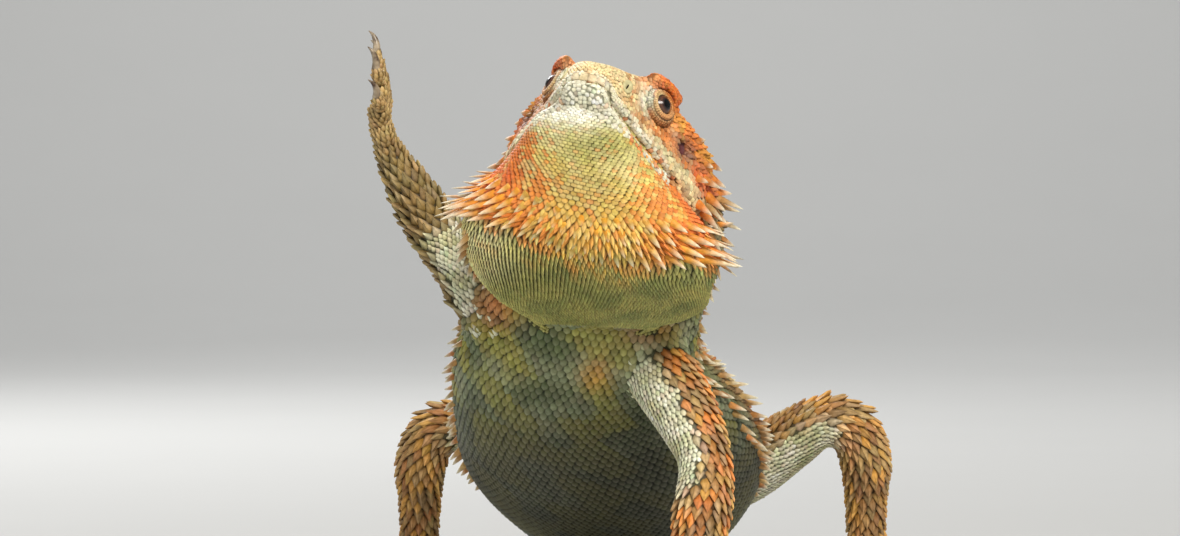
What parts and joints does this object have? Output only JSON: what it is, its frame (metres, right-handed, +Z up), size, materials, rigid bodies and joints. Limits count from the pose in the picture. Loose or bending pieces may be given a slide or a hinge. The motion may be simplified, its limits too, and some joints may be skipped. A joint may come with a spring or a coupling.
{
  "type": "bearded dragon lizard",
  "caption": "Adult bearded dragon lizard, a still life-size model: chin up, spiny beard spread, forebody reared on one forelimb with the other raised, belly and long tail on the floor.",
  "frame": {"origin": "on the floor, under the middle of the animal's bounding box", "axes": "+X to the animal's left, -Y the way its body faces, +Z up from the floor it rests on"},
  "size_m": [0.1784, 0.416, 0.1433],
  "materials": {
    "head_skin": "matte scales, orange with pale lips",
    "beard_skin": "matte scales, cream to orange, grey-olive below",
    "body_skin": "matte scales, olive-grey belly, tan and orange above",
    "tail_skin": "matte scales, tan with darker bands",
    "limb_skin": "matte keeled scales, orange-tan",
    "eye": "wet gloss"
  },
  "bodies": {
    "root": {"head": "head_skin", "jaw": "head_skin", "beard": "beard_skin", "neck": "body_skin", "torso": "body_skin", "tail_base": "tail_skin", "tail_middle": "tail_skin", "tail_tip": "tail_skin", "arm_left_upper": "limb_skin", "arm_left_fore": "limb_skin", "hand_left": "limb_skin", "arm_right_upper": "limb_skin", "arm_right_fore": "limb_skin", "hand_right": "limb_skin", "thigh_left": "limb_skin", "shank_left": "limb_skin", "foot_left": "limb_skin", "thigh_right": "limb_skin", "shank_right": "limb_skin", "foot_right": "limb_skin", "eye_left": "eye", "eye_right": "eye"}
  },
  "joints": []
}
